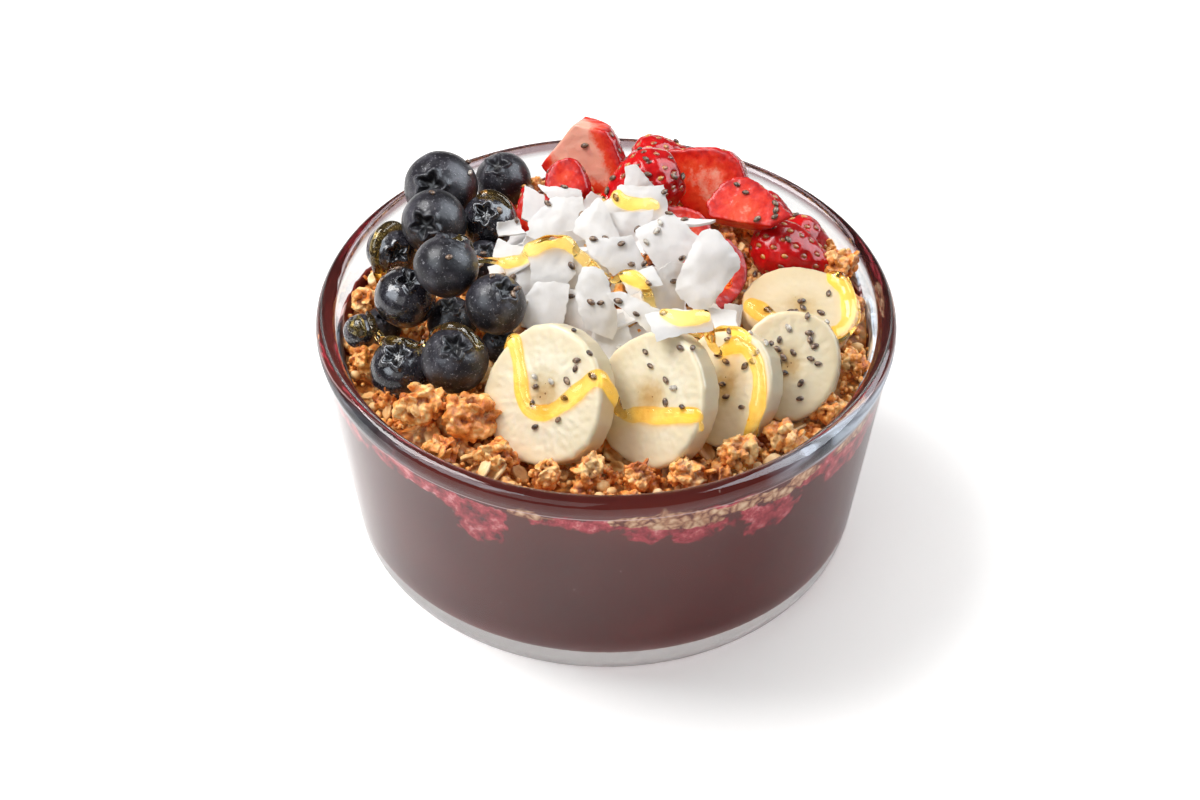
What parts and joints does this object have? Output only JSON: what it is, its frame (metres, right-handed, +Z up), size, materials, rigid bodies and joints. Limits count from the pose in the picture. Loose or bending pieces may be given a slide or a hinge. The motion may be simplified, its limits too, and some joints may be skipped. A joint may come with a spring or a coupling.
{
  "type": "acai bowl",
  "caption": "Round glass bowl of acai puree with a ring of granola, topped with blueberries, cut strawberries, banana slices, coconut flakes, honey and chia seeds.",
  "frame": {"origin": "middle of the bowl's flat base, on the surface it stands on", "axes": "+Z up through the bowl's middle, -Y towards the front, where the banana slices lean, +X to the right"},
  "size_m": [0.152, 0.152, 0.0987],
  "materials": {
    "glass": "clear, polished",
    "acai": "dark maroon-brown fruit puree, slightly glossy, speckled",
    "granola": "baked oats, golden to deep brown, rough",
    "blueberry_skin": "blue-black skin with a dusty bloom",
    "banana": "moist cream flesh",
    "strawberry": "wet red skin with seeds, paler cut flesh",
    "coconut": "thin translucent white flakes"
  },
  "bodies": {
    "root": {"glass_bowl": "glass", "acai": "acai", "granola": "granola", "blueberry_01": "blueberry_skin", "blueberry_02": "blueberry_skin", "blueberry_03": "blueberry_skin", "blueberry_04": "blueberry_skin", "blueberry_05": "blueberry_skin", "blueberry_06": "blueberry_skin", "blueberry_07": "blueberry_skin", "blueberry_08": "blueberry_skin", "blueberry_09": "blueberry_skin", "blueberry_10": "blueberry_skin", "blueberry_11": "blueberry_skin", "blueberry_12": "blueberry_skin", "blueberry_13": "blueberry_skin", "blueberry_14": "blueberry_skin", "blueberry_15": "blueberry_skin", "banana_slice_1": "banana", "banana_slice_2": "banana", "banana_slice_3": "banana", "banana_slice_4": "banana", "banana_slice_5": "banana", "strawberry_01": "strawberry", "strawberry_02": "strawberry", "strawberry_03": "strawberry", "strawberry_04": "strawberry", "strawberry_05": "strawberry", "strawberry_06": "strawberry", "strawberry_07": "strawberry", "strawberry_08": "strawberry", "strawberry_09": "strawberry", "strawberry_10": "strawberry", "strawberry_11": "strawberry", "strawberry_12": "strawberry", "coconut_flake_01": "coconut", "coconut_flake_02": "coconut", "coconut_flake_03": "coconut", "coconut_flake_04": "coconut", "coconut_flake_05": "coconut", "coconut_flake_06": "coconut", "coconut_flake_07": "coconut", "coconut_flake_08": "coconut", "coconut_flake_09": "coconut", "coconut_flake_10": "coconut", "coconut_flake_11": "coconut", "coconut_flake_12": "coconut", "coconut_flake_13": "coconut", "coconut_flake_14": "coconut", "coconut_flake_15": "coconut", "coconut_flake_16": "coconut", "coconut_flake_17": "coconut", "coconut_flake_18": "coconut", "coconut_flake_19": "coconut", "coconut_flake_20": "coconut"}
  },
  "joints": []
}
